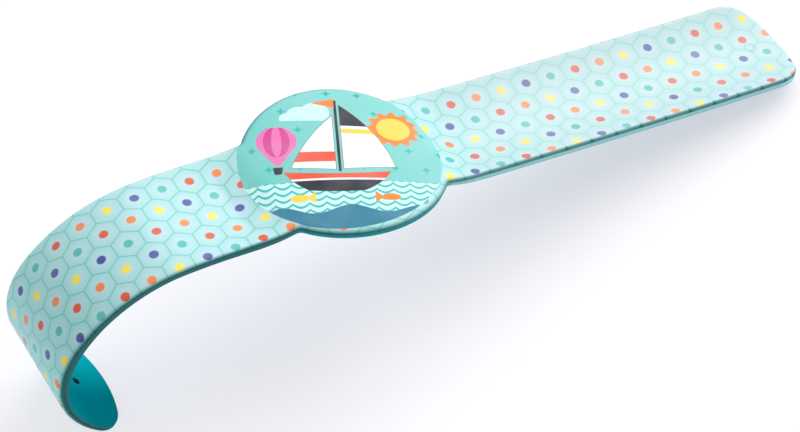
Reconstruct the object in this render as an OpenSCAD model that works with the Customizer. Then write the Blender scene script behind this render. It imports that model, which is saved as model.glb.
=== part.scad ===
// A slap bracelet lying open: a long soft band with a round disc in its middle.
// The left half curls down and under, the right half is straight and dished across its width.
// The printed side faces up. X runs along the band, Y across it and Z up from the resting plane.

/* [Band] */
// Length of the flat band from end to end
band_length = 226; // [210:1:240]
// Width of the band beside the disc
band_width = 28.2; // [26:0.1:31]
// Thickness of the whole band, cover and back together
band_t = 2.1; // [2:0.05:2.4]
// Radius of the rounded corners at both ends
corner_r = 7.7; // [6:0.1:10]
// Radius of the gently bowed end between its corners
end_r = 27; // [20:1:60]

/* [Disc] */
// Diameter of the round disc in the middle
disc_d = 45.6; // [42:0.2:49]
// Radius of the hollow corner where the disc meets the band
neck_r = 1.5; // [1:0.1:3]

/* [Cover] */
// Thickness of the printed cover at its side wall
cover_t = 1.05; // [1:0.05:1.2]
// Height of the cover's rounded upper edge
edge_h = 0.8; // [0.5:0.05:0.9]
// Width of the rounded edge along the band
edge_w = 0.7; // [0.4:0.05:1]
// Width of the rounded edge on the disc
disc_edge_w = 1.9; // [1:0.1:2.2]

/* [Back] */
// Width of the fine parting groove between the cover and the back
parting = 0.1; // [0.05:0.01:0.15]
// How far the back sits in from the cover's side wall
back_inset = 0.2; // [0.1:0.05:0.4]
// Radius that rounds the back's lower edge
back_edge_r = 0.35; // [0.2:0.05:0.4]
// Diameter of the small locating hole near the curled end
hole_d = 1.9; // [1.5:0.1:3]
// Distance of the locating hole from the curled end
hole_from_end = 8.5; // [7:0.5:20]

/* [Spring strip] */
// Thickness of the steel strip
strip_t = 0.2; // [0.15:0.01:0.25]
// Distance of the strip's edge from the band's edge
strip_inset = 3.2; // [3:0.1:4.5]
// Clearance round the strip inside its pocket
pocket_gap = 0.1; // [0.05:0.01:0.12]

/* [Hidden] */

// Bend along the band: a row is [distance from the middle, bend in degrees per centimetre]
BEND = [
    [-113, -26],
    [-98, -26],
    [-88, -33],
    [-77, -30],
    [-68, -16],
    [-54, -17],
    [-47, -14],
    [-42, -6],
    [-35, -3],
    [-27, 2],
    [-22, 24],
    [-20, -5],
    [20, -5],
    [22, 20],
    [27, 4],
    [35, 0],
    [113, 0.5],
];

// Dish across the band: a row is [distance from the middle, height of the edges over the centre line]
DISH = [
    [-113, 0],
    [-88, 0],
    [-66, -1.1],
    [-47, -0.7],
    [-35, 0.7],
    [-27, 1.5],
    [-19, 0],
    [19, 0],
    [27, 2.3],
    [113, 2.9],
];

half_length = band_length/2;
half_width = band_width/2;
disc_r = disc_d/2;
// Distance from the centre line at which the dish's height is given
dish_at = 13.7;

// Steps of the mesh: round the disc, in each hollow corner, along each straight side and round a corner
disc_steps = 8;
neck_steps = 2;
curled_steps = 28;
straight_steps = 14;
corner_steps = 6;
// The straight side's steps grow towards the end by this power
straight_growth = 1.5;
// Cells across the half width of a face
cells = 5;
strip_cells = 4;
// Steps of the rounded upper edge
edge_steps = 3;
// How far the cover's side wall draws in towards the parting groove
wall_draft = 0.1;
// Millimetres in a centimetre, for the bend table
cm = 10;
// A curvature below this counts as flat
nearly_flat = 1e-6;
// Rounds of leaning until both ends touch
lean_rounds = 8;

// Where the hollow corner and the rounded end corner have their centres
neck_x = sqrt(pow(disc_r + neck_r, 2) - pow(half_width + neck_r, 2));
neck_angle = atan2(neck_x, half_width + neck_r);
corner_y = half_width - corner_r;
corner_angle = asin(corner_y/(end_r - corner_r));
corner_x = half_length - end_r + (end_r - corner_r)*cos(corner_angle);

// The rounded edge narrows from the disc to the band over this distance beyond the hollow corner
edge_blend = 3;
edge_widths = [
    [disc_r*sin(neck_angle), disc_edge_w],
    [neck_x + edge_blend, edge_w],
];

// Outline of half the band as [x, half width], from the disc's middle to the end. It is drawn in by
// an inset and by a share of the rounded edge's width.
function half_outline(inset, share, sides, growth) = concat(
    [for (k = [0 : disc_steps])
        let (
            a = neck_angle*k/disc_steps,
            r = disc_r - inset - share*disc_edge_w
        )
        [r*sin(a), r*cos(a)]],
    [for (k = [1 : neck_steps])
        let (
            a = neck_angle*(1 - k/neck_steps),
            r = neck_r + inset + share*lookup(neck_x - neck_r*sin(a), edge_widths)
        )
        [neck_x - r*sin(a), half_width + neck_r - r*cos(a)]],
    [for (k = [1 : sides])
        let (x = neck_x + (corner_x - neck_x)*pow(k/sides, growth))
        [x, half_width - inset - share*lookup(x, edge_widths)]],
    [for (k = [1 : corner_steps])
        let (
            a = (90 - corner_angle)*k/corner_steps,
            r = corner_r - inset - share*edge_w
        )
        [corner_x + r*sin(a), corner_y + r*cos(a)]]
);

// The whole outline from the curled end to the straight end; without the disc it stays a plain band
function outline(inset, share, with_disc) =
    let (
        left = half_outline(inset, share, curled_steps, 1),
        right = half_outline(inset, share, straight_steps, straight_growth),
        whole = concat(
            [for (i = [len(left) - 1 : -1 : 1]) [-left[i].x, left[i].y]],
            right
        )
    )
    [for (p = whole) [p.x, with_disc ? p.y : min(p.y, half_width - inset)]];

// The end of an outline bows out: x at a distance y from the centre line
function bowed_end(y, inset) = half_length - end_r + sqrt(pow(end_r - inset, 2) - y*y);

// Spine of the band, bent by the table: rows of [along, turn, x, z], worked out from the curled end
spine_step = 0.5;
spine = [
    for (
        s = -half_length, turn = 0, x = 0, z = 0;
        s <= half_length + spine_step;
        half_turn = lookup(s + spine_step/2, BEND)*spine_step/cm/2,
        x = x + spine_step*cos(turn + half_turn),
        z = z + spine_step*sin(turn + half_turn),
        turn = turn + 2*half_turn,
        s = s + spine_step
    )
    [s, turn, x, z]
];
turns = [for (p = spine) [p[0], p[1]]];
spine_xs = [for (p = spine) [p[0], p[2]]];
spine_zs = [for (p = spine) [p[0], p[3]]];
middle_turn = lookup(0, turns);

// Curvature across the band from the height of its dish
function dish_curve(s) =
    let (rise = lookup(s, DISH))
    2*rise/(dish_at*dish_at + rise*rise);

// A point of the flat band, at a depth below its upper face, carried onto the bent and dished band
function bent(s, y, depth) =
    let (
        turn = lookup(s, turns) - middle_turn,
        curve = dish_curve(s),
        flat = abs(curve) < nearly_flat,
        a = flat ? 0 : curve*y*180/PI,
        edge_a = flat ? 0 : curve*dish_at*180/PI,
        across = (flat ? y : sin(a)/curve) + sin(a)*depth,
        up = (flat ? 0 : (cos(edge_a) - cos(a))/curve) - cos(a)*depth,
        x = lookup(s, spine_xs),
        z = lookup(s, spine_zs),
        cx = x*cos(middle_turn) + z*sin(middle_turn),
        cz = z*cos(middle_turn) - x*sin(middle_turn)
    )
    [cx - up*sin(turn), across, cz + up*cos(turn)];

// A mesh's layers, from the upper face to the lower, are rows of
// [inset, share of the rounded edge's width, depth, 1 with the disc or 0 without]
cover_layers = concat(
    [for (k = [0 : edge_steps])
        let (a = 90*k/edge_steps)
        [0, 1 - sin(a), edge_h*(1 - cos(a)), 1]],
    [
        [wall_draft, 0, cover_t, 1],
        [strip_inset - pocket_gap, 0, cover_t, 0],
        [strip_inset - pocket_gap, 0, cover_t - strip_t - 2*pocket_gap, 0],
    ]
);
back_layers = [
    [back_inset, 0, cover_t + parting, 1],
    [back_inset, 0, band_t - back_edge_r, 1],
    [back_inset + back_edge_r, 0, band_t, 1],
];
strip_layers = [
    [strip_inset, 0, cover_t - strip_t - pocket_gap, 0],
    [strip_inset, 0, cover_t - pocket_gap, 0],
];

// The band leans until the tip of the curl and the tip of the straight end touch one level plane
curl_feet = [for (layer = cover_layers) bent(-half_length + layer[0] + layer[1]*edge_w, 0, layer[2])];
end_feet = [for (layer = back_layers) bent(half_length - layer[0] - layer[1]*edge_w, 0, layer[2])];
function leaned(p, lean) = [p.x*cos(lean) + p.z*sin(lean), p.y, p.z*cos(lean) - p.x*sin(lean)];
function lowest(points, lean) =
    let (heights = [for (p = points) leaned(p, lean).z])
    let (z = min(heights))
    leaned(points[search(z, heights)[0]], lean);
function settled(lean, tries) =
    let (
        curl = lowest(curl_feet, lean),
        end = lowest(end_feet, lean)
    )
    tries == 0 ? lean : settled(lean + atan2(end.z - curl.z, end.x - curl.x), tries - 1);
lean = settled(0, lean_rounds);

// A face of the mesh as a flat list of [s, y, depth], with rows across the band
function face_points(layer, across) =
    let (
        edge = outline(layer[0], layer[1], layer[3] == 1),
        end_inset = layer[0] + layer[1]*edge_w,
        last = len(edge) - 1
    )
    [for (i = [0 : last], j = [-across : across])
        let (y = edge[i].y*j/across)
        [i == 0 ? -bowed_end(y, end_inset) : i == last ? bowed_end(y, end_inset) : edge[i].x, y, layer[2]]];

// Indices round the rim of a face that has so many rows
function rim(rows, across) =
    let (w = 2*across + 1)
    concat(
        [for (i = [0 : rows - 2]) i*w],
        [for (j = [0 : w - 2]) (rows - 1)*w + j],
        [for (i = [rows - 1 : -1 : 1]) i*w + w - 1],
        [for (j = [w - 1 : -1 : 1]) j]
    );

// All flat points of a sheet: its upper face, the rims of the layers between, and its lower face
function sheet_points(layers, across) =
    let (
        rows = len(outline(0, 0, true)),
        edge = rim(rows, across),
        last = len(layers) - 1
    )
    concat(
        face_points(layers[0], across),
        [for (k = [1 : 1 : last - 1])
            let (face = face_points(layers[k], across))
            for (i = edge) face[i]],
        face_points(layers[last], across)
    );

// Triangles of a sheet whose points come in that order
function sheet_faces(layer_count, across) =
    let (
        rows = len(outline(0, 0, true)),
        w = 2*across + 1,
        edge = rim(rows, across),
        m = len(edge),
        below = rows*w + (layer_count - 2)*m,
        rings = concat(
            [edge],
            [for (k = [0 : 1 : layer_count - 3]) [for (q = [0 : m - 1]) rows*w + k*m + q]],
            [[for (i = edge) below + i]]
        )
    )
    concat(
        [for (i = [0 : rows - 2], j = [0 : w - 2])
            let (p = i*w + j)
            each [[p, p + 1, p + w], [p + 1, p + w + 1, p + w]]],
        [for (k = [0 : layer_count - 2], q = [0 : m - 1])
            let (
                r = (q + 1) % m,
                upper = rings[k],
                lower = rings[k + 1]
            )
            each [[upper[q], upper[r], lower[q]], [upper[r], lower[r], lower[q]]]],
        [for (i = [0 : rows - 2], j = [0 : w - 2])
            let (p = below + i*w + j)
            each [[p, p + w, p + 1], [p + 1, p + w, p + w + 1]]]
    );

function shaped(points) = [for (p = points) leaned(bent(p[0], p[1], p[2]), lean)];

cover_points = shaped(sheet_points(cover_layers, cells));
back_points = shaped(sheet_points(back_layers, cells));
strip_points = shaped(sheet_points(strip_layers, strip_cells));

// The frame's origin is the middle of the bounding box's underside
outer_xs = [for (p = cover_points) p.x];
outer_zs = [for (p = concat(cover_points, back_points)) p.z];
origin = [(min(outer_xs) + max(outer_xs))/2, 0, min(outer_zs)];
function placed(points) = [for (p = points) p - origin];

hole_at = -half_length + hole_from_end;
hole_turn = lookup(hole_at, turns) - middle_turn - lean;
hole_centre = placed([leaned(bent(hole_at, 0, (cover_t + band_t)/2), lean)])[0];

module cover() {
    color([0.74, 0.94, 0.93])
        polyhedron(placed(cover_points), sheet_faces(len(cover_layers), cells));
}

module back_layer() {
    color([0.05, 0.62, 0.66])
        difference() {
            polyhedron(placed(back_points), sheet_faces(len(back_layers), cells));
            translate(hole_centre)
                rotate([0, -hole_turn, 0])
                    cylinder(d = hole_d, h = 2*band_t, center = true, $fn = 24);
        }
}

module spring_strip() {
    color([0.35, 0.37, 0.4])
        polyhedron(placed(strip_points), sheet_faces(len(strip_layers), strip_cells));
}

cover();
back_layer();
spring_strip();
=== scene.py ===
"""A slap bracelet lying open: a printed cover with a round picture on it, a teal back and a steel strip."""
import math
from functools import reduce

import bpy
import numpy as np
from mathutils import Matrix, Vector


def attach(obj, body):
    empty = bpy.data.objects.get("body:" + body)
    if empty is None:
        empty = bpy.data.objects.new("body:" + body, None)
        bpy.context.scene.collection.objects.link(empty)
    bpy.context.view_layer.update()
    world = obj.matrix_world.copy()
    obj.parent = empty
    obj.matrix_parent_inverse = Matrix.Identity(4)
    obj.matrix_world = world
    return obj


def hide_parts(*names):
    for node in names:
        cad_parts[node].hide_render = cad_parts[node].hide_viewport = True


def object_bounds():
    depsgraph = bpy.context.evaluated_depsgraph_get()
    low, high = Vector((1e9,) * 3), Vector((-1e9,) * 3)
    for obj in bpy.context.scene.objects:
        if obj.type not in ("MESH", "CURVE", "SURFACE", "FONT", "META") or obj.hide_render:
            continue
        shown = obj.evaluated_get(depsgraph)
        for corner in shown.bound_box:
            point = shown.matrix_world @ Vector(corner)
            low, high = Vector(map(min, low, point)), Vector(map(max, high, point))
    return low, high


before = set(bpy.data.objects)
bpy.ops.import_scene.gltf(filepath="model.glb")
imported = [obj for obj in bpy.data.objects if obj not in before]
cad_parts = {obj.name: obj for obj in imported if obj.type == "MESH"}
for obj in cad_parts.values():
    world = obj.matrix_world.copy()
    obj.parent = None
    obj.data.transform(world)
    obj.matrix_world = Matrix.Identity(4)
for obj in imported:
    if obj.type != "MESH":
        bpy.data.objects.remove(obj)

cad_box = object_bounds()

# The shape is worked out in millimetres, from the same sizes as the solids, and Blender's unit is the metre
MM = 0.001
CM = 10
# The flat outline: a band with round corners and bowed ends, and a disc that joins it in hollow corners
BAND_LENGTH = 226
BAND_WIDTH = 28.2
BAND_T = 2.1
CORNER_R = 7.7
END_R = 27
DISC_D = 45.6
NECK_R = 1.5
# The cover's rounded edge is wider on the disc than on the band, and changes over a stretch beyond the disc.
# Its wall draws in a little at the foot.
COVER_T = 1.05
EDGE_H = 0.8
EDGE_W = 0.7
DISC_EDGE_W = 1.9
EDGE_BLEND = 3
WALL_DRAFT = 0.1
# The back lies below a fine groove, a little inside the cover's outline, and has one small hole
PARTING = 0.1
BACK_INSET = 0.2
BACK_EDGE_R = 0.35
HOLE_D = 1.9
HOLE_FROM_END = 8.5
# The strip, and the gap all round it in its pocket
STRIP_T = 0.2
STRIP_INSET = 3.2
POCKET_GAP = 0.1

# Bend along the band: distance from the middle, bend in degrees per centimetre
BEND = [
    (-113, -26),
    (-98, -26),
    (-88, -33),
    (-77, -30),
    (-68, -16),
    (-54, -17),
    (-47, -14),
    (-42, -6),
    (-35, -3),
    (-27, 2),
    (-22, 24),
    (-20, -5),
    (20, -5),
    (22, 20),
    (27, 4),
    (35, 0),
    (113, 0.5),
]

# Dish across the band: distance from the middle, height of the edges over the centre line
DISH = [
    (-113, 0),
    (-88, 0),
    (-66, -1.1),
    (-47, -0.7),
    (-35, 0.7),
    (-27, 1.5),
    (-19, 0),
    (19, 0),
    (27, 2.3),
    (113, 2.9),
]

# The inside of the curl is pressed together and widens: distance from the middle, and the share of the width
# that each millimetre of depth adds
SPLAY = [
    (-113, 0.034),
    (-72, 0.034),
    (-45, 0.01),
    (-35, 0),
]

HALF_LENGTH = BAND_LENGTH/2
HALF_WIDTH = BAND_WIDTH/2
DISC_R = DISC_D/2
# The half width at which the dish's heights are given, and the flattest curve that it is worked out with
DISH_AT = 13.7
LEAST_CURVE = 1e-6
# The centre line is summed in these steps, and the lean is found in so many rounds
SPINE_STEP = 0.1
LEAN_ROUNDS = 8

# Steps of the meshes: round the disc, in a hollow corner, along a straight side, round a corner and across
DISC_STEPS = 34
NECK_STEPS = 6
SIDE_STEPS = 110
CORNER_STEPS = 14
CELLS = 14
EDGE_STEPS = 8

# The small hole's place along the band, its bevelled lip, and the shallow round recess that it lies in
HOLE_S = HOLE_FROM_END - HALF_LENGTH
HOLE_LIP = 0.1
RECESS_R = 3
RECESS_DEPTH = 0.14
RECESS_SLOPE = 0.7
RECESS_STEPS = 5
# The patch of the grid that is remade round the hole: its half length, and its half width in cells
PATCH = 4.4
PATCH_CELLS = 4

# The chart of a sheet: its flat pieces side by side in a square, with the hidden side made small
CHART_WRAP = 1.2
CHART_GAP = 0.7
CHART_SIDE = 104
HIDDEN_SCALE = 0.21
# Edges that turn by more than this are shaded sharp
SHARP_ANGLE = math.radians(40)

# Where the band leaves the disc, and the middles of the band's round corners
NECK_X = math.sqrt((DISC_R + NECK_R)**2 - (HALF_WIDTH + NECK_R)**2)
NECK_ANGLE = math.atan2(NECK_X, HALF_WIDTH + NECK_R)
CORNER_Y = HALF_WIDTH - CORNER_R
CORNER_ANGLE = math.asin(CORNER_Y/(END_R - CORNER_R))
CORNER_X = HALF_LENGTH - END_R + (END_R - CORNER_R)*math.cos(CORNER_ANGLE)

# Angles round a quarter turn, in the steps of a rounded edge
QUARTER = np.linspace(0, math.pi/2, EDGE_STEPS + 1)


def columns(rows):
    """The columns of a table as arrays"""
    return np.array(rows, float).T


def make_spine():
    """Along, turn, x and z of the bent centre line, level and at the origin in the middle"""
    along = np.arange(-HALF_LENGTH, HALF_LENGTH + SPINE_STEP, SPINE_STEP)
    bends = np.radians(np.interp(along[:-1] + SPINE_STEP/2, *columns(BEND)))*SPINE_STEP/CM
    turn = np.concatenate([[0], np.cumsum(bends)])
    turn -= np.interp(0, along, turn)
    heading = (turn[1:] + turn[:-1])/2
    x = np.concatenate([[0], np.cumsum(np.cos(heading))*SPINE_STEP])
    z = np.concatenate([[0], np.cumsum(np.sin(heading))*SPINE_STEP])
    return along, turn, x - np.interp(0, along, x), z - np.interp(0, along, z)


ALONG, TURN, SPINE_X, SPINE_Z = make_spine()


def bent(s, y, depth):
    """Points of the flat band, at a depth below its upper face, carried onto the bent and dished band"""
    rise = np.interp(s, *columns(DISH))
    curve = 2*rise/(DISH_AT**2 + rise**2)
    curve = np.where(abs(curve) < LEAST_CURVE, LEAST_CURVE, curve)
    turn = np.interp(s, ALONG, TURN)
    around = curve*y*(1 + np.interp(s, *columns(SPLAY))*depth)
    across = np.sin(around)*(1/curve + depth)
    up = np.cos(curve*DISH_AT)/curve - np.cos(around)*(1/curve + depth)
    x = np.interp(s, ALONG, SPINE_X) - up*np.sin(turn)
    z = np.interp(s, ALONG, SPINE_Z) + up*np.cos(turn)
    return np.stack([x, across + 0*x, z], -1)


def leaned(points, lean):
    """Points turned about Y, so that the straight end comes down"""
    x, y, z = points[..., 0], points[..., 1], points[..., 2]
    return np.stack([x*math.cos(lean) + z*math.sin(lean), y, z*math.cos(lean) - x*math.sin(lean)], -1)


def find_lean():
    """The lean at which the tip of the curl and the tip of the straight end touch one level plane"""
    curl = bent(-HALF_LENGTH + EDGE_W*(1 - np.sin(QUARTER)), 0, EDGE_H*(1 - np.cos(QUARTER)))
    end_s = HALF_LENGTH - BACK_INSET - BACK_EDGE_R*(1 - np.cos(QUARTER))
    end = bent(end_s, 0, BAND_T - BACK_EDGE_R*(1 - np.sin(QUARTER)))
    lean = 0
    for _ in range(LEAN_ROUNDS):
        low = [min(leaned(p, lean), key=lambda q: q[2]) for p in (curl, end)]
        lean += math.atan2(low[1][2] - low[0][2], low[1][0] - low[0][0])
    return lean


LEAN = find_lean()


def edge_width(x):
    """Width of the rounded edge at a distance from the disc's middle"""
    return np.interp(x, [DISC_R*math.sin(NECK_ANGLE), NECK_X + EDGE_BLEND], [DISC_EDGE_W, EDGE_W])


def half_outline(inset, share):
    """Half of an outline, as x and half width, inside an inset and a share of the rounded edge's width"""
    disc = np.linspace(0, NECK_ANGLE, DISC_STEPS + 1)
    disc_r = DISC_R - inset - share*DISC_EDGE_W
    neck = np.linspace(NECK_ANGLE, 0, NECK_STEPS + 1)[1:]
    neck_r = NECK_R + inset + share*edge_width(NECK_X - NECK_R*np.sin(neck))
    side = np.linspace(NECK_X, CORNER_X, SIDE_STEPS + 1)[1:]
    corner = np.linspace(0, math.pi/2 - CORNER_ANGLE, CORNER_STEPS + 1)[1:]
    corner_r = CORNER_R - inset - share*EDGE_W
    return np.concatenate([
        np.stack([disc_r*np.sin(disc), disc_r*np.cos(disc)], -1),
        np.stack([NECK_X - neck_r*np.sin(neck), HALF_WIDTH + NECK_R - neck_r*np.cos(neck)], -1),
        np.stack([side, HALF_WIDTH - inset - share*edge_width(side)], -1),
        np.stack([CORNER_X + corner_r*np.sin(corner), CORNER_Y + corner_r*np.cos(corner)], -1),
    ])


def flat_face(inset, share=0, with_disc=True):
    """A grid of flat points inside an outline, with rows across the band and bowed ends"""
    half = half_outline(inset, share)
    edge = np.concatenate([half[:0:-1]*[-1, 1], half])
    if not with_disc:
        edge[:, 1] = np.minimum(edge[:, 1], HALF_WIDTH - inset)
    y = edge[:, 1:]*np.linspace(-1, 1, 2*CELLS + 1)
    s = np.repeat(edge[:, :1], 2*CELLS + 1, 1)
    bow = HALF_LENGTH - END_R + np.sqrt((END_R - inset - share*EDGE_W)**2 - y[0]**2)
    s[0] = -bow
    s[-1] = bow
    return np.stack([s, y], -1)


ROWS, WIDE = flat_face(0).shape[:2]


def rim_of(grid):
    """The points round a face's rim, in order"""
    return np.concatenate([grid[:-1, 0], grid[-1, :-1], grid[:0:-1, -1], grid[0, :0:-1]])


class Sheet:
    """Points and faces of a closed sheet, gathered layer by layer"""

    def __init__(self):
        self.flat = []
        self.depth = []
        self.chart = []
        self.faces = []
        self.hidden = []
        self.count = 0

    def add(self, flat, depth, chart):
        """Adds points by flat place, depth and place on the chart, and returns their numbers"""
        flat = np.reshape(flat, (-1, 2))
        self.flat.append(flat)
        self.depth.append(np.full(len(flat), float(depth)))
        self.chart.append(np.reshape(chart, (-1, 2)))
        self.count += len(flat)
        return np.arange(self.count - len(flat), self.count)

    def face(self, corners, hidden=False):
        """Adds four-sided faces, whose corners are point numbers"""
        corners = corners.reshape(-1, 4)
        self.faces.append(corners)
        self.hidden.append(np.full(len(corners), hidden))

    def grid(self, inset, depth, chart_inset, with_disc=True):
        """Adds the points of a whole face. Insets come with their shares of the rounded edge's width."""
        flat = flat_face(*inset, with_disc)
        return self.add(flat, depth, flat_face(*chart_inset, with_disc)).reshape(ROWS, WIDE)

    def ring(self, inset, depth, chart_inset, with_disc=True):
        """Adds a ring of points round the rim"""
        flat = rim_of(flat_face(*inset, with_disc))
        return self.add(flat, depth, rim_of(flat_face(*chart_inset, with_disc)))

    def cover_grid(self, numbers, up, hidden=False):
        """Fills a grid of points with faces that look up or down"""
        a, b, c, d = numbers[:-1, :-1], numbers[1:, :-1], numbers[1:, 1:], numbers[:-1, 1:]
        self.face(np.stack([a, b, c, d] if up else [a, d, c, b], -1), hidden)

    def wall(self, rings, hidden=False):
        """Walls from each ring to the next below it, looking outwards"""
        for upper, lower in zip(rings, rings[1:]):
            self.face(np.stack([upper, lower, np.roll(lower, -1), np.roll(upper, -1)], -1), hidden)

    def pierce(self, numbers, rings, up, hidden=False):
        """Fills a grid with faces round a hole, whose rings of radius and depth run from the grid inwards"""
        first, last = np.searchsorted(flat_face(0)[:, CELLS, 0], [HOLE_S - PATCH, HOLE_S + PATCH])
        low, high = CELLS - PATCH_CELLS, CELLS + PATCH_CELLS + 1
        a, b, c, d = numbers[:-1, :-1], numbers[1:, :-1], numbers[1:, 1:], numbers[:-1, 1:]
        kept = np.ones(a.shape, bool)
        kept[first:last - 1, low:high - 1] = False
        self.face(np.stack([a, b, c, d] if up else [a, d, c, b], -1)[kept], hidden)
        edge = rim_of(numbers[first:last, low:high])
        out = self.flat_at(edge) - [HOLE_S, 0]
        out /= np.hypot(*out.T)[:, None]
        loops = [edge]
        for radius, depth in rings:
            flat = out*radius + [HOLE_S, 0]
            loops.append(self.add(flat, depth, flat))
        for outer, inner in zip(loops, loops[1:]):
            corners = [inner, outer, np.roll(outer, -1), np.roll(inner, -1)]
            self.face(np.stack(corners if up else corners[::-1], -1), hidden)
        return loops[-1]

    def flat_at(self, numbers):
        """Flat places of some points"""
        return np.concatenate(self.flat)[numbers]

    def places(self):
        """The sheet's points, bent and leaned, in millimetres"""
        s, y = np.concatenate(self.flat).T
        return leaned(bent(s, y, np.concatenate(self.depth)), LEAN)


def rounded(width):
    """Depth and length run over, at each step of a rounded upper edge and at the foot of the wall"""
    depth = EDGE_H*(1 - np.cos(QUARTER))
    inset = width*(1 - np.sin(QUARTER))
    run = np.concatenate([[0], np.cumsum(np.hypot(np.diff(depth), np.diff(inset)))])
    return np.append(depth, COVER_T), np.append(run, run[-1] + COVER_T - EDGE_H)


def cover_sheet():
    """The printed cover: a rounded upper edge, a wall, and a pocket for the strip below"""
    sheet = Sheet()
    shares = np.append(1 - np.sin(QUARTER), 0)
    depths, band_run = rounded(EDGE_W)
    disc_run = rounded(DISC_EDGE_W)[1]
    # The print runs on over the edge, by what the edge measures on the band and on the disc
    spread = (disc_run - band_run)/(DISC_EDGE_W - EDGE_W)
    print_insets = np.stack([spread*EDGE_W - band_run, 1 - spread], -1)
    top = sheet.grid((0, 1), 0, (0, 1))
    rings = [rim_of(top)]
    for k in range(1, EDGE_STEPS + 2):
        inset = (0 if k <= EDGE_STEPS else WALL_DRAFT, shares[k])
        rings.append(sheet.ring(inset, depths[k], print_insets[k]))
    sheet.cover_grid(top, up=True)
    sheet.wall(rings)
    pocket = STRIP_INSET - POCKET_GAP
    roof_depth = COVER_T - STRIP_T - 2*POCKET_GAP
    sill = sheet.ring((pocket, 0), COVER_T, (pocket, 0), with_disc=False)
    roof = sheet.grid((pocket, 0), roof_depth, (pocket + COVER_T - roof_depth, 0), with_disc=False)
    sheet.wall([rings[-1], sill, rim_of(roof)], hidden=True)
    sheet.cover_grid(roof, up=False, hidden=True)
    return sheet


def back_sheet():
    """The plain back: a flat upper face, a rounded lower edge, and a hole in a shallow round recess"""
    sheet = Sheet()
    under_inset = BACK_INSET + BACK_EDGE_R
    run = BACK_EDGE_R*math.pi/2
    wall_t = BAND_T - BACK_EDGE_R - COVER_T - PARTING
    top = sheet.grid((BACK_INSET, 0), COVER_T + PARTING, (under_inset - run - wall_t, 0))
    rings = [rim_of(top)]
    for a in QUARTER[:-1]:
        inset = BACK_INSET + BACK_EDGE_R*(1 - math.cos(a))
        depth = BAND_T - BACK_EDGE_R*(1 - math.sin(a))
        rings.append(sheet.ring((inset, 0), depth, (under_inset - run + BACK_EDGE_R*a, 0)))
    under = sheet.grid((under_inset, 0), BAND_T, (under_inset, 0))
    rings.append(rim_of(under))
    sheet.wall(rings)
    hole_r = HOLE_D/2
    slope = [(1 + math.cos(math.pi*k/RECESS_STEPS))/2 for k in range(RECESS_STEPS + 1)]
    recess = [
        (RECESS_R - RECESS_SLOPE*k/RECESS_STEPS, BAND_T - RECESS_DEPTH*(1 - slope[k]))
        for k in range(RECESS_STEPS + 1)
    ]
    lip = [(hole_r + HOLE_LIP, BAND_T - RECESS_DEPTH), (hole_r, BAND_T - RECESS_DEPTH - HOLE_LIP)]
    upper = sheet.pierce(top, [(hole_r, COVER_T + PARTING)], up=True, hidden=True)
    lower = sheet.pierce(under, recess + lip, up=False)
    sheet.wall([lower, upper])
    return sheet


def chart_place(chart, middle_s, hidden):
    """Where each face corner lands on the unit square that its colours are baked to"""
    s, y = chart.T
    wide = HALF_WIDTH + CHART_WRAP
    disc = DISC_R + CHART_WRAP
    left = np.stack([s + HALF_LENGTH + CHART_WRAP, y + wide], -1)
    right = np.stack([s - NECK_X, y + 3*wide + CHART_GAP], -1)
    round_part = np.stack([y + disc, s + NECK_X + 4*wide + 2*CHART_GAP], -1)
    small = np.stack([s, y], -1)*HIDDEN_SCALE
    small += [2*disc + CHART_GAP + (HALF_LENGTH + CHART_WRAP)*HIDDEN_SCALE,
              4*wide + 2*CHART_GAP + disc*HIDDEN_SCALE]
    place = np.where((middle_s < -NECK_X)[:, None], left, right)
    place = np.where((abs(middle_s) < NECK_X)[:, None], round_part, place)
    place = np.where(hidden[:, None], small, place)
    return (place + CHART_GAP)/CHART_SIDE


def make_piece(name, sheet, shift):
    """A smooth object from a sheet, with flat place and depth as an attribute and the chart as a UV map"""
    faces = np.concatenate(sheet.faces)
    used, faces = np.unique(faces, return_inverse=True)
    faces = faces.reshape(-1, 4)
    chart = np.concatenate(sheet.chart)[used]
    mesh = bpy.data.meshes.new(name)
    mesh.from_pydata(sheet.places()[used]*MM + shift, [], faces)
    flat = mesh.attributes.new("flat", "FLOAT_VECTOR", "POINT")
    depth = np.concatenate(sheet.depth)[used]
    flat.data.foreach_set("vector", np.column_stack([chart, depth]).ravel())
    corners = faces.ravel()
    middle_s = np.repeat(chart[faces, 0].mean(1), 4)
    place = chart_place(chart[corners], middle_s, np.repeat(np.concatenate(sheet.hidden), 4))
    mesh.uv_layers.new(name="OFBake").data.foreach_set("uv", place.ravel())
    mesh.polygons.foreach_set("use_smooth", np.ones(len(faces), bool))
    mesh.set_sharp_from_angle(angle=SHARP_ANGLE)
    mesh.validate()
    piece = bpy.data.objects.new(name, mesh)
    bpy.context.scene.collection.objects.link(piece)
    return piece


# How soft a painted edge is, in millimetres, where nothing else is named
PAINT_SOFT = 0.06


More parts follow.
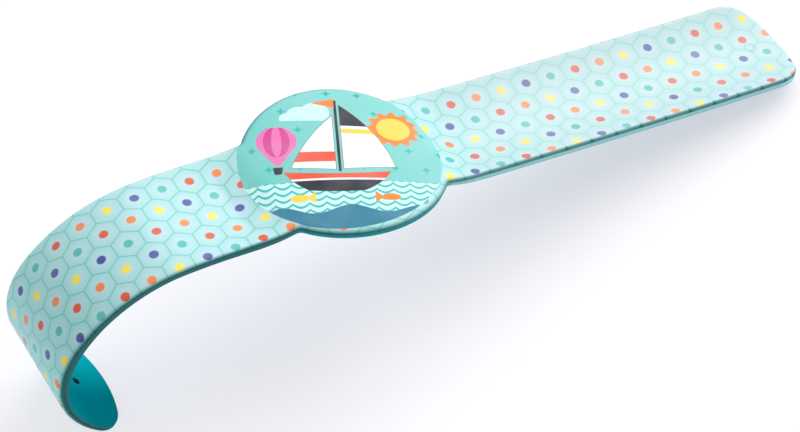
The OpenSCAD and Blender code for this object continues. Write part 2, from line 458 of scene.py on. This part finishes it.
class Value:
    """A number that a material's nodes work out. Arithmetic on it adds Math nodes."""

    def __init__(self, tree, socket):
        self.tree = tree
        self.socket = socket

    def work(self, operation, *others, clamp=False):
        """The result of a Math node on this and on the others, which are numbers or values"""
        node = self.tree.nodes.new("ShaderNodeMath")
        node.operation = operation
        node.use_clamp = clamp
        for place, other in enumerate((self, *others)):
            if isinstance(other, Value):
                self.tree.links.new(other.socket, node.inputs[place])
            else:
                node.inputs[place].default_value = other
        return Value(self.tree, node.outputs[0])

    def __add__(self, other):
        return self.work("ADD", other)

    def __sub__(self, other):
        return self.work("SUBTRACT", other)

    def __rsub__(self, other):
        return self.work("MULTIPLY_ADD", -1, other)

    def __mul__(self, other):
        return self.work("MULTIPLY", other)

    def __truediv__(self, other):
        return self.work("DIVIDE", other)

    def __neg__(self):
        return self.work("MULTIPLY", -1)

    def __abs__(self):
        return self.work("ABSOLUTE")

    def both(self, other):
        """Inside this and the other"""
        return self.work("MINIMUM", other)

    def either(self, other):
        """Inside this or the other"""
        return self.work("MAXIMUM", other)

    def times_plus(self, factor, term, clamp=False):
        """This times a factor plus a term, kept from 0 to 1 if clamped"""
        return self.work("MULTIPLY_ADD", factor, term, clamp=clamp)

    def pick(self, when_one, when_zero):
        """A blend of two numbers by this one"""
        return self.times_plus(when_one - when_zero, when_zero)

    def shown(self, softness=PAINT_SOFT):
        """1 inside, where a distance is positive, and 0 outside, with a soft edge in millimetres"""
        return self.times_plus(1/softness, 0.5, clamp=True)


def between(value, low, high):
    """How far a number has come from one limit to another, from 0 to 1"""
    return value.times_plus(1/(high - low), -low/(high - low), clamp=True)


def length(x, y):
    """The length of a step along both axes"""
    return (x*x + y*y).work("SQRT")


def ink(red, green, blue):
    """A colour given as on a screen, from 0 to 255, as the light that it returns"""
    def light(c):
        c /= 255
        return c/12.92 if c <= 0.04045 else ((c + 0.055)/1.055)**2.4
    return (light(red), light(green), light(blue), 1)


# The honeycomb: the side of a cell, its offset from the band's middle, and the sizes of its lines and dots as
# shares of a side
CELL_SIDE = 3.7
CELL_S = -0.2
CELL_Y = -1.85
LINE_SHARE = 0.038
LINE_SOFT = 0.12
DOT_SHARE = 0.28
DOT_SOFT = 0.25
# A cell is pale up to one distance from its middle and aqua from another, in sides
PALE_TO = 0.3125
AQUA_FROM = 0.9375
CELL_AQUA = ink(156, 212, 213)
CELL_PALE = ink(177, 217, 221)
# On the curl the cells are deeper, a painted shade where the curl turns from the light, and they change to
# the rest's colours between these places
CURL_SHADE_AQUA = ink(136, 216, 213)
CURL_SHADE_PALE = ink(160, 221, 220)
CURL_FROM = -84
CURL_TO = -58
# On the straight half they are a little less blue and paler, a painted sheen
SHEEN_AQUA = ink(168, 212, 212)
SHEEN_PALE = ink(187, 217, 220)
LINE_TEAL = ink(108, 192, 187)
# The dots' inks, which the cells along a row take in turn
DOT_INKS = [
    ink(65, 182, 180),
    ink(212, 80, 44),
    ink(234, 131, 61),
    ink(240, 221, 65),
    ink(64, 71, 157),
]
# A pale bloom lies over the print in patches
BLOOM_SCALE = 0.09
BLOOM_FROM = 0.4
BLOOM_SHARE = 0.35
# Between these places a painted sheen in the bloom's pale colour comes to lie everywhere over the straight
# half, and the lines fade under it
BLOOM_AND_SHEEN = ink(206, 218, 224)
SHEEN_SHARE = 0.15
SHEEN_FROM = 18
SHEEN_TO = 45
SHEEN_LINE_FADE = 0.55

# Down the wall the print darkens by these, a painted shade, between two depths below the upper face
WALL_SHADE_LEFT = ink(60, 132, 132)
WALL_SHADE_RIGHT = ink(125, 172, 172)
WALL_SHADE_FROM = 0.06
WALL_SHADE_TO = 0.5
# The walls change from the curled half's colours to the straight half's between these places
WALL_LEFT_S = -20
WALL_RIGHT_S = 26
# On the straight half the honeycomb's printed lines run down the wall, wider, and darker with painted shade
TICK_SHADED_TEAL = ink(20, 116, 112)
TICK_WIDER = 0.25
TICK_SOFT = 0.2
TICK_SHARE = 0.8

# The faint round mark near the straight end: its middle, radius, width and strength
MARK_S = 105.9
MARK_Y = 0.9
MARK_R = 1.25
MARK_WIDTH = 0.4
MARK_SOFT = 0.3
MARK_SHARE = 0.55
MARK_TEAL = ink(96, 176, 174)

# The plain back. On the tip of the curl painted light and shade run across the band, lit on the far side and
# shaded on the near side.
BACK_TEAL = ink(0, 140, 154)
TIP_SHADE = ink(0, 120, 134)
TIP_LIT = ink(8, 174, 186)
TIP_SHADE_Y = -5
TIP_LIT_Y = 7
TIP_FROM = -102
TIP_TO = -92
# Its wall: painted shade on the curled half, a painted reflection of the floor's light on the straight half
# and a painted highlight under the disc, and the depth that it reaches down to
BACK_WALL_SHADE = ink(64, 120, 122)
BACK_WALL_REFLECTION = ink(160, 222, 224)
BACK_WALL_HIGHLIGHT = ink(30, 158, 162)
BACK_DISC_SOFT = 2
BACK_WALL_TO = 1.9
BACK_WALL_SOFT = 0.1

# The band's print is glossier than the disc's and than the wall
BAND_GLOSS = 0.4
DULL_GLOSS = 0.06
# The fine moulded grain of both sheets and their slow unevenness: features to a millimetre, and relief
GRAIN_SCALE = 5
GRAIN_DETAIL = 3
COVER_GRAIN_RELIEF = 0.018
BACK_GRAIN_RELIEF = 0.022
UNEVEN_SCALE = 0.7
UNEVEN_RELIEF = 0.02
INK_RELIEF = 0.006
MARK_RELIEF = 0.03
# Each roughness in the middle of its range, and how far the grain and larger patches spread it
COVER_ROUGHNESS = 0.39
COVER_GRAIN_SPREAD = 0.12
COVER_PATCH_SPREAD = 0.1
COVER_PATCH_SCALE = 0.35
BACK_ROUGHNESS = 0.42
BACK_GRAIN_SPREAD = 0.16

# The steel strip, brushed along its length
STEEL = ink(84, 88, 94)
STEEL_DARK = ink(62, 66, 72)
BRUSH_SCALE = 900
BRUSH_DETAIL = 3
BRUSH_STRETCH = (0.05, 1, 1)
BRUSH_RELIEF = 0.01
STEEL_ROUGHNESS = 0.35
STEEL_SPREAD = 0.3

# The round picture: its radius, its middle, which lies a little to the far side and the curl, and its turn
PICTURE_R = 22.1
PICTURE_S = -0.6
PICTURE_Y = 0.9
PICTURE_TURN = math.radians(-24)
SKY = ink(112, 200, 194)
SKY_PALE = ink(134, 206, 202)
SKY_MARK = ink(66, 180, 178)
WHITE = ink(240, 243, 246)
CHARCOAL = ink(52, 50, 60)
CORAL = ink(232, 90, 62)
ORANGE = ink(240, 138, 64)
YELLOW = ink(244, 210, 90)
PINK = ink(232, 120, 182)
MAGENTA = ink(208, 76, 148)
PALE_AQUA = ink(200, 238, 236)
TEAL = ink(70, 190, 184)
STEEL_BLUE = ink(64, 130, 156)
OUTLINE = ink(120, 120, 130)

# The picture's motifs lie in millimetres from its middle. A shape's corners run to the left, and each is x, y
# and the bulge of the side that follows.
# The sky gets paler by these for each millimetre up and to the right
SKY_UP = 0.02
SKY_RIGHT = 0.016
# Small four-pointed marks stand in a honeycomb of their own all over the sky
TWINKLE_SIDE = 3.9
TWINKLE_S = 1.5
TWINKLE_Y = 2.2
TWINKLE_REACH = 0.62
TWINKLE_SOFT = 0.1

SUN_S = 12.2
SUN_Y = 9.2
SUN_R = 3.7
RAYS = 12
RAYS_R = 5.3
RAYS_REACH = 0.55

BALLOON_S = -13.4
BALLOON_Y = 4.6
BALLOON_R = 4.4
BALLOON_FOOT = [(-16.9, 2, 0), (-14, -2.6, 0), (-12.8, -2.6, 0), (-9.9, 2, 0)]
# Two stripes lie at about this distance each side of the balloon's middle and bend in with its roundness,
# which is taken a little larger than the balloon's own
STRIPE_AT = 1.9
STRIPE_HALF = 0.85
STRIPE_SPREAD = 4.5
STRIPE_R_SQUARED = 22
BASKET = [(-14.5, -3.2, 0), (-14.2, -5.1, 0.2), (-12.6, -5.1, 0), (-12.3, -3.2, 0)]

# The cloud's round parts, as x, y and radius, and its level base
CLOUD = [(-8.2, 12.6, 2.7), (-4.6, 13.6, 3.1), (-10.8, 11.6, 1.7)]
CLOUD_BASE = 10.9

# The sea is scalloped along its top, and so are the lines on it
SEA_TOP = -8.2
SCALLOP_LENGTH = 3.6
SEA_SCALLOP = 0.5
SEA_LINE_PITCH = 1.9
SEA_LINE_HALF = 0.33
SEA_LINE_SCALLOP = 1.1
# The deeper swell in front: its top, its height, its turn for each millimetre and its start, both in radians
SWELL_TOP = -16.2
SWELL_HEIGHT = 1.1
SWELL_TURN = 0.42
SWELL_START = 0.9

MAINSAIL = [(0.6, -4.2, 0), (11.8, -3.4, 1.8), (0.6, 16.2, 0)]
JIB = [(-10.6, -3.6, 0), (-1, -4.4, 0), (-1, 12.6, 0.9)]
# Where the mainsail's dark head begins, and the middle and half width of the band on each sail
HEAD_FROM = 9.4
MAIN_BAND_Y = 7.7
MAIN_BAND_HALF = 0.75
JIB_BAND_Y = -0.4
JIB_BAND_HALF = 1.5
SAIL_LINE_HALF = 0.07
MAST_S = -0.2
MAST_HALF = 0.32
MAST_FOOT = -5
MAST_TOP = 17.6
PENNANT = [(-5.6, 16.6, 0), (-0.4, 15.1, 0), (-0.4, 18.1, 0)]
HULL = [(-12.8, -4.6, 0.6), (-7.6, -10.4, 0.7), (8.2, -10.4, 0.6), (13.6, -4.2, -1.2)]
HULL_CORAL_FROM = -7.2
HULL_LINE_Y = -7.3
HULL_LINE_HALF = 0.3

# The fish: place, ink and the way that each swims, 1 to the right
FISH = [(10.2, -12.8, ORANGE, 1), (-9.2, -12.7, YELLOW, -1)]
FISH_R = 2
FISH_SLIMMER = 1.9
TAIL_S = -2.5
TAIL_HALF = 0.9
TAIL_TIP_S = -1.5
TAIL_FLARE = 0.9

ROOT3 = math.sqrt(3)


def new_material(name, roughness, specular=0.5, metallic=0):
    """A material with one Principled shader"""
    material = bpy.data.materials.new(name)
    material.use_nodes = True
    shader = material.node_tree.nodes["Principled BSDF"]
    shader.inputs["Roughness"].default_value = roughness
    shader.inputs["Specular IOR Level"].default_value = specular
    shader.inputs["Metallic"].default_value = metallic
    return material, material.node_tree, shader


def blend(tree, low, high, share, how="MIX"):
    """A colour between two, which are colours or sockets, or the two mixed in another way"""
    node = tree.nodes.new("ShaderNodeMix")
    node.data_type = "RGBA"
    node.blend_type = how
    tree.links.new(share.socket, node.inputs[0])
    for place, colour in ((6, low), (7, high)):
        if isinstance(colour, bpy.types.NodeSocket):
            tree.links.new(colour, node.inputs[place])
        else:
            node.inputs[place].default_value = colour
    return node.outputs[2]


def flat_place(tree):
    """The flat place in millimetres: along the band, across it, the depth, and all three as one vector"""
    source = tree.nodes.new("ShaderNodeAttribute")
    source.attribute_name = "flat"
    parts = tree.nodes.new("ShaderNodeSeparateXYZ")
    tree.links.new(source.outputs["Vector"], parts.inputs[0])
    return *(Value(tree, part) for part in parts.outputs), source.outputs["Vector"]


def noise(tree, vector, scale, detail=2, stretch=None):
    """Noise from 0 to 1 over a vector, with so many features to a unit of it"""
    node = tree.nodes.new("ShaderNodeTexNoise")
    node.inputs["Scale"].default_value = scale
    node.inputs["Detail"].default_value = detail
    if stretch:
        mapping = tree.nodes.new("ShaderNodeMapping")
        mapping.inputs["Scale"].default_value = stretch
        tree.links.new(vector, mapping.inputs["Vector"])
        vector = mapping.outputs[0]
    tree.links.new(vector, node.inputs["Vector"])
    return Value(tree, node.outputs["Fac"])


def relief(tree, shader, height):
    """Bump from a height in millimetres"""
    node = tree.nodes.new("ShaderNodeBump")
    node.inputs["Distance"].default_value = MM
    tree.links.new(height.socket, node.inputs["Height"])
    tree.links.new(node.outputs[0], shader.inputs["Normal"])


def nearest_cell(s, y, side, at_s, at_y):
    """The place within the nearest cell of a honeycomb, in sides, and the number of the cell's dot ink"""
    p = (s - at_s)/side
    q = (y - at_y)/side
    choices = []
    # The cells' middles form two grids with steps of root 3 and 3 sides, the second half a step on both ways.
    # The inks move on by one from column to column and by three from row to row.
    for shift, start in ((0, 3), (0.5, 0)):
        column = (p/ROOT3 - shift).work("ROUND")
        row = (q/3 - shift).work("ROUND")
        dx = p - (column + shift)*ROOT3
        dy = q - (row + shift)*3
        choices.append((dx, dy, column + row*3 + start))
    (ax, ay, an), (bx, by, bn) = choices
    first = length(ax, ay).work("LESS_THAN", length(bx, by))
    number = first.pick(an, bn).work("FLOORED_MODULO", len(DOT_INKS))
    return first.pick(ax, bx), first.pick(ay, by), number


def honeycomb(tree, s, y, straight_sheen):
    """The colour of the band's print, how far inside a line a place is, and where there is ink"""
    dx, dy, number = nearest_cell(s, y, CELL_SIDE, CELL_S, CELL_Y)
    away = length(dx, dy)
    across = abs(dx)
    apart = across.either(across*0.5 + abs(dy)*(ROOT3/2))
    line = (apart - (ROOT3/2 - LINE_SHARE))*CELL_SIDE
    on_line = line.shown(LINE_SOFT)
    on_dot = ((DOT_SHARE - away)*CELL_SIDE).shown(DOT_SOFT)
    # Painted shade deepens the cells on the curl
    uncurled = between(s, CURL_FROM, CURL_TO)
    # The cells on the straight half are paler and its lines fainter, a painted sheen
    pale = blend(tree, blend(tree, CURL_SHADE_PALE, CELL_PALE, uncurled), SHEEN_PALE, straight_sheen)
    aqua = blend(tree, blend(tree, CURL_SHADE_AQUA, CELL_AQUA, uncurled), SHEEN_AQUA, straight_sheen)
    colour = blend(tree, pale, aqua, between(away, PALE_TO, AQUA_FROM))
    colour = blend(tree, colour, LINE_TEAL, on_line*straight_sheen.pick(SHEEN_LINE_FADE, 1))
    ramp = tree.nodes.new("ShaderNodeValToRGB")
    ramp.color_ramp.interpolation = "CONSTANT"
    stops = ramp.color_ramp.elements
    for k, dot_ink in enumerate(DOT_INKS):
        stop = stops[0] if k == 0 else stops.new(k/len(DOT_INKS))
        stop.color = dot_ink
    tree.links.new(((number + 0.5)/len(DOT_INKS)).socket, ramp.inputs[0])
    return blend(tree, colour, ramp.outputs[0], on_dot), line, on_line.either(on_dot)


def round_patch(s, y, at_s, at_y, radius):
    """How far inside a circle"""
    return radius - length(s - at_s, y - at_y)


def side_of(s, y, a, b, bulge=0):
    """How far left of the way from a to b, which bulges out to the right by so much"""
    (ax, ay), (bx, by) = a, b
    half = math.hypot(bx - ax, by - ay)/2
    nx, ny = (by - ay)/(2*half), (ax - bx)/(2*half)
    if bulge == 0:
        return (ax*nx + ay*ny) - s.times_plus(nx, y*ny)
    radius = (half**2 + bulge**2)/(2*bulge)
    reach = radius - bulge
    inside = round_patch(s, y, (ax + bx)/2 - nx*reach, (ay + by)/2 - ny*reach, abs(radius))
    return inside if bulge > 0 else -inside


def patch(s, y, corners):
    """How far inside a shape whose corners run to the left: x, y and the bulge of the side that follows"""
    sides = [
        side_of(s, y, (ax, ay), (bx, by), bulge)
        for (ax, ay, bulge), (bx, by, _) in zip(corners, corners[1:] + corners[:1])
    ]
    return reduce(Value.both, sides)


def sun(s, y):
    """A sun and its rays, each as an ink and how far inside it a place is"""
    dx, dy = s - SUN_S, y - SUN_Y
    away = length(dx, dy)
    wave = (dy.work("ARCTAN2", dx)*RAYS).work("COSINE")
    return [(ORANGE, RAYS_R - away + wave*RAYS_REACH), (YELLOW, SUN_R - away)]


def balloon(s, y):
    """A balloon with two stripes, and its basket"""
    dx, dy = s - BALLOON_S, y - BALLOON_Y
    inside = (BALLOON_R - length(dx, dy)).either(patch(s, y, BALLOON_FOOT))
    turned = dx/(STRIPE_R_SQUARED - dy*dy).work("SQRT")*STRIPE_SPREAD
    stripe = STRIPE_HALF - abs(abs(turned) - STRIPE_AT)
    return [(PINK, inside), (MAGENTA, stripe.both(inside)), (CHARCOAL, patch(s, y, BASKET))]


def cloud(s, y):
    """A cloud with a level base"""
    puffs = [round_patch(s, y, *puff) for puff in CLOUD]
    return [(PALE_AQUA, reduce(Value.either, puffs).both(y - CLOUD_BASE))]


def sea(s, y):
    """Waves with scalloped lines, and a deeper swell in front"""
    crest = abs((s*(math.pi/SCALLOP_LENGTH)).work("SINE"))
    water = SEA_TOP - y + crest*SEA_SCALLOP
    along = (y + crest*SEA_LINE_SCALLOP).work("FLOORED_MODULO", SEA_LINE_PITCH)
    lines = SEA_LINE_HALF - abs(along - SEA_LINE_PITCH/2)
    swell = (s*SWELL_TURN + SWELL_START).work("SINE")*SWELL_HEIGHT + SWELL_TOP - y
    return [(PALE_AQUA, water), (TEAL, lines.both(water)), (STEEL_BLUE, swell)]


def boat(s, y):
    """Sails with bands and a fine outline, a mast, a pennant and a hull"""
    mainsail = patch(s, y, MAINSAIL)
    jib = patch(s, y, JIB)
    sails = mainsail.either(jib)
    mast = (MAST_HALF - abs(s - MAST_S)).both(y - MAST_FOOT).both(MAST_TOP - y)
    hull = patch(s, y, HULL)
    return [
        (WHITE, sails),
        (CHARCOAL, mainsail.both(y - HEAD_FROM)),
        (CORAL, jib.both(JIB_BAND_HALF - abs(y - JIB_BAND_Y))),
        (YELLOW, mainsail.both(MAIN_BAND_HALF - abs(y - MAIN_BAND_Y))),
        (OUTLINE, SAIL_LINE_HALF - abs(sails)),
        (CHARCOAL, mast),
        (ORANGE, patch(s, y, PENNANT)),
        (CHARCOAL, hull),
        (CORAL, hull.both(y - HULL_CORAL_FROM)),
        (WHITE, hull.both(HULL_LINE_HALF - abs(y - HULL_LINE_Y))),
    ]


def fish(s, y):
    """Fish with round bodies and flared tails"""
    layers = []
    for at_s, at_y, fish_ink, way in FISH:
        dx, dy = (s - at_s)*way, y - at_y
        body = FISH_R - length(dx, dy*FISH_SLIMMER)
        flare = abs(dx - TAIL_TIP_S)*TAIL_FLARE - abs(dy)
        tail = (TAIL_HALF - abs(dx - TAIL_S)).both(flare)
        layers.append((fish_ink, body.either(tail)))
    return layers


def picture(tree, s, y):
    """The disc's picture: a sailing boat on the sea, a sun, a balloon, a cloud and two fish"""
    turn_cos, turn_sin = math.cos(PICTURE_TURN), math.sin(PICTURE_TURN)
    s, y = s.times_plus(turn_cos, y*turn_sin), y.times_plus(turn_cos, s*-turn_sin)
    colour = blend(tree, SKY, SKY_PALE, (y*SKY_UP + s*SKY_RIGHT).times_plus(1, 0.5, clamp=True))
    dx, dy, _ = nearest_cell(s, y, TWINKLE_SIDE, TWINKLE_S, TWINKLE_Y)
    twinkle = TWINKLE_REACH - (abs(dx).work("SQRT") + abs(dy).work("SQRT"))
    colour = blend(tree, colour, SKY_MARK, twinkle.shown(TWINKLE_SOFT))
    for motif in (sun, balloon, cloud, sea, boat, fish):
        for motif_ink, inside in motif(s, y):
            colour = blend(tree, colour, motif_ink, inside.shown())
    return colour


def printed_silicone():
    """Satin silicone with the honeycomb printed all over it and the picture on the disc, with painted shade
    on the curl and down the wall and a painted sheen on the straight half
    """
    material, tree, shader = new_material("printed_cover", COVER_ROUGHNESS, specular=BAND_GLOSS)
    s, y, depth, vector = flat_place(tree)
    straight_sheen = between(s, SHEEN_FROM, SHEEN_TO)
    colour, line, inked = honeycomb(tree, s, y, straight_sheen)
    on_picture = round_patch(s, y, PICTURE_S, PICTURE_Y, PICTURE_R).shown()
    colour = blend(tree, colour, picture(tree, s - PICTURE_S, y - PICTURE_Y), on_picture)
    mark = (MARK_WIDTH/2 - abs(length(s - MARK_S, y - MARK_Y) - MARK_R)).shown(MARK_SOFT)
    colour = blend(tree, colour, MARK_TEAL, mark*MARK_SHARE)
    clouds = noise(tree, vector, BLOOM_SCALE)
    bloom = clouds.times_plus(BLOOM_SHARE, -BLOOM_SHARE*BLOOM_FROM, clamp=True)
    # The bloom lies in patches, and the painted sheen lies over the straight half
    colour = blend(tree, colour, BLOOM_AND_SHEEN, bloom + straight_sheen*SHEEN_SHARE)
    # Low on the wall the print darkens under painted shade
    low = between(depth, WALL_SHADE_FROM, WALL_SHADE_TO)
    wall = blend(tree, WALL_SHADE_LEFT, WALL_SHADE_RIGHT, between(s, WALL_LEFT_S, WALL_RIGHT_S))
    colour = blend(tree, colour, wall, low, "MULTIPLY")
    # The print's lines on the wall, darkened with painted shade
    tick = (line + TICK_WIDER).shown(TICK_SOFT)*low*straight_sheen
    colour = blend(tree, colour, TICK_SHADED_TEAL, tick*TICK_SHARE)
    tree.links.new(colour, shader.inputs["Base Color"])
    grain = noise(tree, vector, GRAIN_SCALE, GRAIN_DETAIL)
    least = COVER_ROUGHNESS - (COVER_GRAIN_SPREAD + COVER_PATCH_SPREAD)/2
    patches = noise(tree, vector, COVER_PATCH_SCALE)
    roughness = grain*COVER_GRAIN_SPREAD + patches*COVER_PATCH_SPREAD + least
    tree.links.new(roughness.socket, shader.inputs["Roughness"])
    dull = on_picture.either(low)
    tree.links.new(dull.pick(DULL_GLOSS, BAND_GLOSS).socket, shader.inputs["Specular IOR Level"])
    printed = inked*INK_RELIEF + mark*MARK_RELIEF
    uneven = noise(tree, vector, UNEVEN_SCALE)*UNEVEN_RELIEF
    relief(tree, shader, grain*COVER_GRAIN_RELIEF + printed + uneven)
    return material


def teal_silicone():
    """Plain satin silicone with a fine moulded grain, and painted light and shade on the curl's tip and on
    the wall
    """
    material, tree, shader = new_material("teal_back", BACK_ROUGHNESS, specular=0)
    s, y, depth, vector = flat_place(tree)
    # Painted light and shade across the curl's tip
    tip = blend(tree, TIP_SHADE, TIP_LIT, between(y, TIP_SHADE_Y, TIP_LIT_Y))
    colour = blend(tree, tip, BACK_TEAL, between(s, TIP_FROM, TIP_TO))
    # The back's wall takes painted shade, a painted reflection and a painted highlight
    wall = blend(tree, BACK_WALL_SHADE, BACK_WALL_REFLECTION, between(s, WALL_LEFT_S, WALL_RIGHT_S))
    wall = blend(tree, wall, BACK_WALL_HIGHLIGHT, (NECK_X - abs(s)).shown(BACK_DISC_SOFT))
    colour = blend(tree, colour, wall, (BACK_WALL_TO - depth).shown(BACK_WALL_SOFT))
    tree.links.new(colour, shader.inputs["Base Color"])
    grain = noise(tree, vector, GRAIN_SCALE, GRAIN_DETAIL)
    roughness = grain*BACK_GRAIN_SPREAD + (BACK_ROUGHNESS - BACK_GRAIN_SPREAD/2)
    tree.links.new(roughness.socket, shader.inputs["Roughness"])
    uneven = noise(tree, vector, UNEVEN_SCALE)*UNEVEN_RELIEF
    relief(tree, shader, grain*BACK_GRAIN_RELIEF + uneven)
    return material


def spring_steel():
    """Dark rolled steel, brushed along the strip"""
    material, tree, shader = new_material("strip_steel", STEEL_ROUGHNESS, metallic=1)
    source = tree.nodes.new("ShaderNodeTexCoord")
    brushed = noise(tree, source.outputs["Object"], BRUSH_SCALE, BRUSH_DETAIL, BRUSH_STRETCH)
    tree.links.new(blend(tree, STEEL, STEEL_DARK, brushed), shader.inputs["Base Color"])
    roughness = brushed*STEEL_SPREAD + (STEEL_ROUGHNESS - STEEL_SPREAD/2)
    tree.links.new(roughness.socket, shader.inputs["Roughness"])
    relief(tree, shader, brushed*BRUSH_RELIEF)
    return material


# The floor reaches so many metres each way, and a faint glow of its own softens the shadows on it
FLOOR_REACH = 4
FLOOR_ROUGHNESS = 0.8
FLOOR_WHITE = ink(182, 182, 183)
FLOOR_GLOW = (0.547, 0.53, 0.561, 1)


def make_floor():
    """A plain pale floor"""
    mesh = bpy.data.meshes.new("floor")
    corners = [(x*FLOOR_REACH, y*FLOOR_REACH, 0) for x, y in ((-1, -1), (1, -1), (1, 1), (-1, 1))]
    mesh.from_pydata(corners, [], [(0, 1, 2, 3)])
    floor = bpy.data.objects.new("floor", mesh)
    bpy.context.scene.collection.objects.link(floor)
    material, _, shader = new_material("floor_white", FLOOR_ROUGHNESS, specular=0)
    shader.inputs["Base Color"].default_value = FLOOR_WHITE
    shader.inputs["Emission Color"].default_value = FLOOR_GLOW
    shader.inputs["Emission Strength"].default_value = 1
    mesh.materials.append(material)


# Soft distant lamps: elevation, azimuth and spread in degrees, strength and colour
LAMPS = {
    "low_front": (18, -28, 38, 0.38, (1, 0.985, 0.97)),
    "low_right": (16, 22, 38, 0.4, (1, 0.985, 0.97)),
    "right": (38, 0, 38, 1.3, (1, 0.985, 0.97)),
    "high_right": (38, 45, 38, 1.15, (1, 1, 1)),
    "high_behind": (60, 90, 70, 0.25, (1, 1, 1)),
    "left_behind": (38, 135, 70, 0.62, (1, 1, 1)),
}
ROOM_COLOUR = (1, 0.965, 0.975, 1)
ROOM_STRENGTH = 0.38


def make_light():
    """A pale room, and large soft lamps to the right and behind"""
    world = bpy.data.worlds.new("studio")
    world.use_nodes = True
    background = world.node_tree.nodes["Background"]
    background.inputs["Color"].default_value = ROOM_COLOUR
    background.inputs["Strength"].default_value = ROOM_STRENGTH
    bpy.context.scene.world = world
    for name, (elevation, azimuth, spread, strength, colour) in LAMPS.items():
        data = bpy.data.lights.new(name, "SUN")
        data.angle = math.radians(spread)
        data.energy = strength
        data.color = colour
        lamp = bpy.data.objects.new(name, data)
        level = math.cos(math.radians(elevation))
        towards = Vector((
            level*math.cos(math.radians(azimuth)),
            level*math.sin(math.radians(azimuth)),
            math.sin(math.radians(elevation)),
        ))
        lamp.rotation_euler = towards.to_track_quat("Z", "Y").to_euler()
        bpy.context.scene.collection.objects.link(lamp)
    bpy.context.scene.view_settings.view_transform = "Standard"


# The photograph's view, relative to the middle of the upper face of the leaned disc
SENSOR = 36
LENS = 137.5
CAMERA_PLACE = (-140.9, -411.6, 486.4)
CAMERA_RIGHT = (0.8716, -0.4742, -0.1243)
CAMERA_FORWARD = (0.2234, 0.61, -0.7602)


def make_camera(shift):
    """The camera of the photograph's view"""
    data = bpy.data.cameras.new("camera")
    data.lens = LENS
    data.sensor_width = SENSOR
    forward = Vector(CAMERA_FORWARD).normalized()
    right = Vector(CAMERA_RIGHT)
    right = (right - right.dot(forward)*forward).normalized()
    turn = Matrix((right, right.cross(forward), -forward)).transposed()
    camera = bpy.data.objects.new("camera", data)
    camera.matrix_world = Matrix.Translation(Vector(CAMERA_PLACE)*MM + Vector(shift)) @ turn.to_4x4()
    bpy.context.scene.collection.objects.link(camera)
    bpy.context.scene.camera = camera


cover_shape = cover_sheet()
back_shape = back_sheet()
cover_places = cover_shape.places()
lowest = min(cover_places[:, 2].min(), back_shape.places()[:, 2].min())
middle_x = (cover_places[:, 0].min() + cover_places[:, 0].max())/2
shift = np.array([(cad_box[0].x + cad_box[1].x)/2 - middle_x*MM, 0, cad_box[0].z - lowest*MM])

make_camera(shift)
make_light()
make_floor()

cover = make_piece("printed_cover", cover_shape, shift)
cover.data.materials.append(printed_silicone())
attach(cover, "root")
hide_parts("cover")

back = make_piece("teal_back", back_shape, shift)
back.data.materials.append(teal_silicone())
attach(back, "root")
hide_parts("back_layer")

steel = spring_steel()
for material_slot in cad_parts["spring_strip"].material_slots:
    material_slot.material = steel
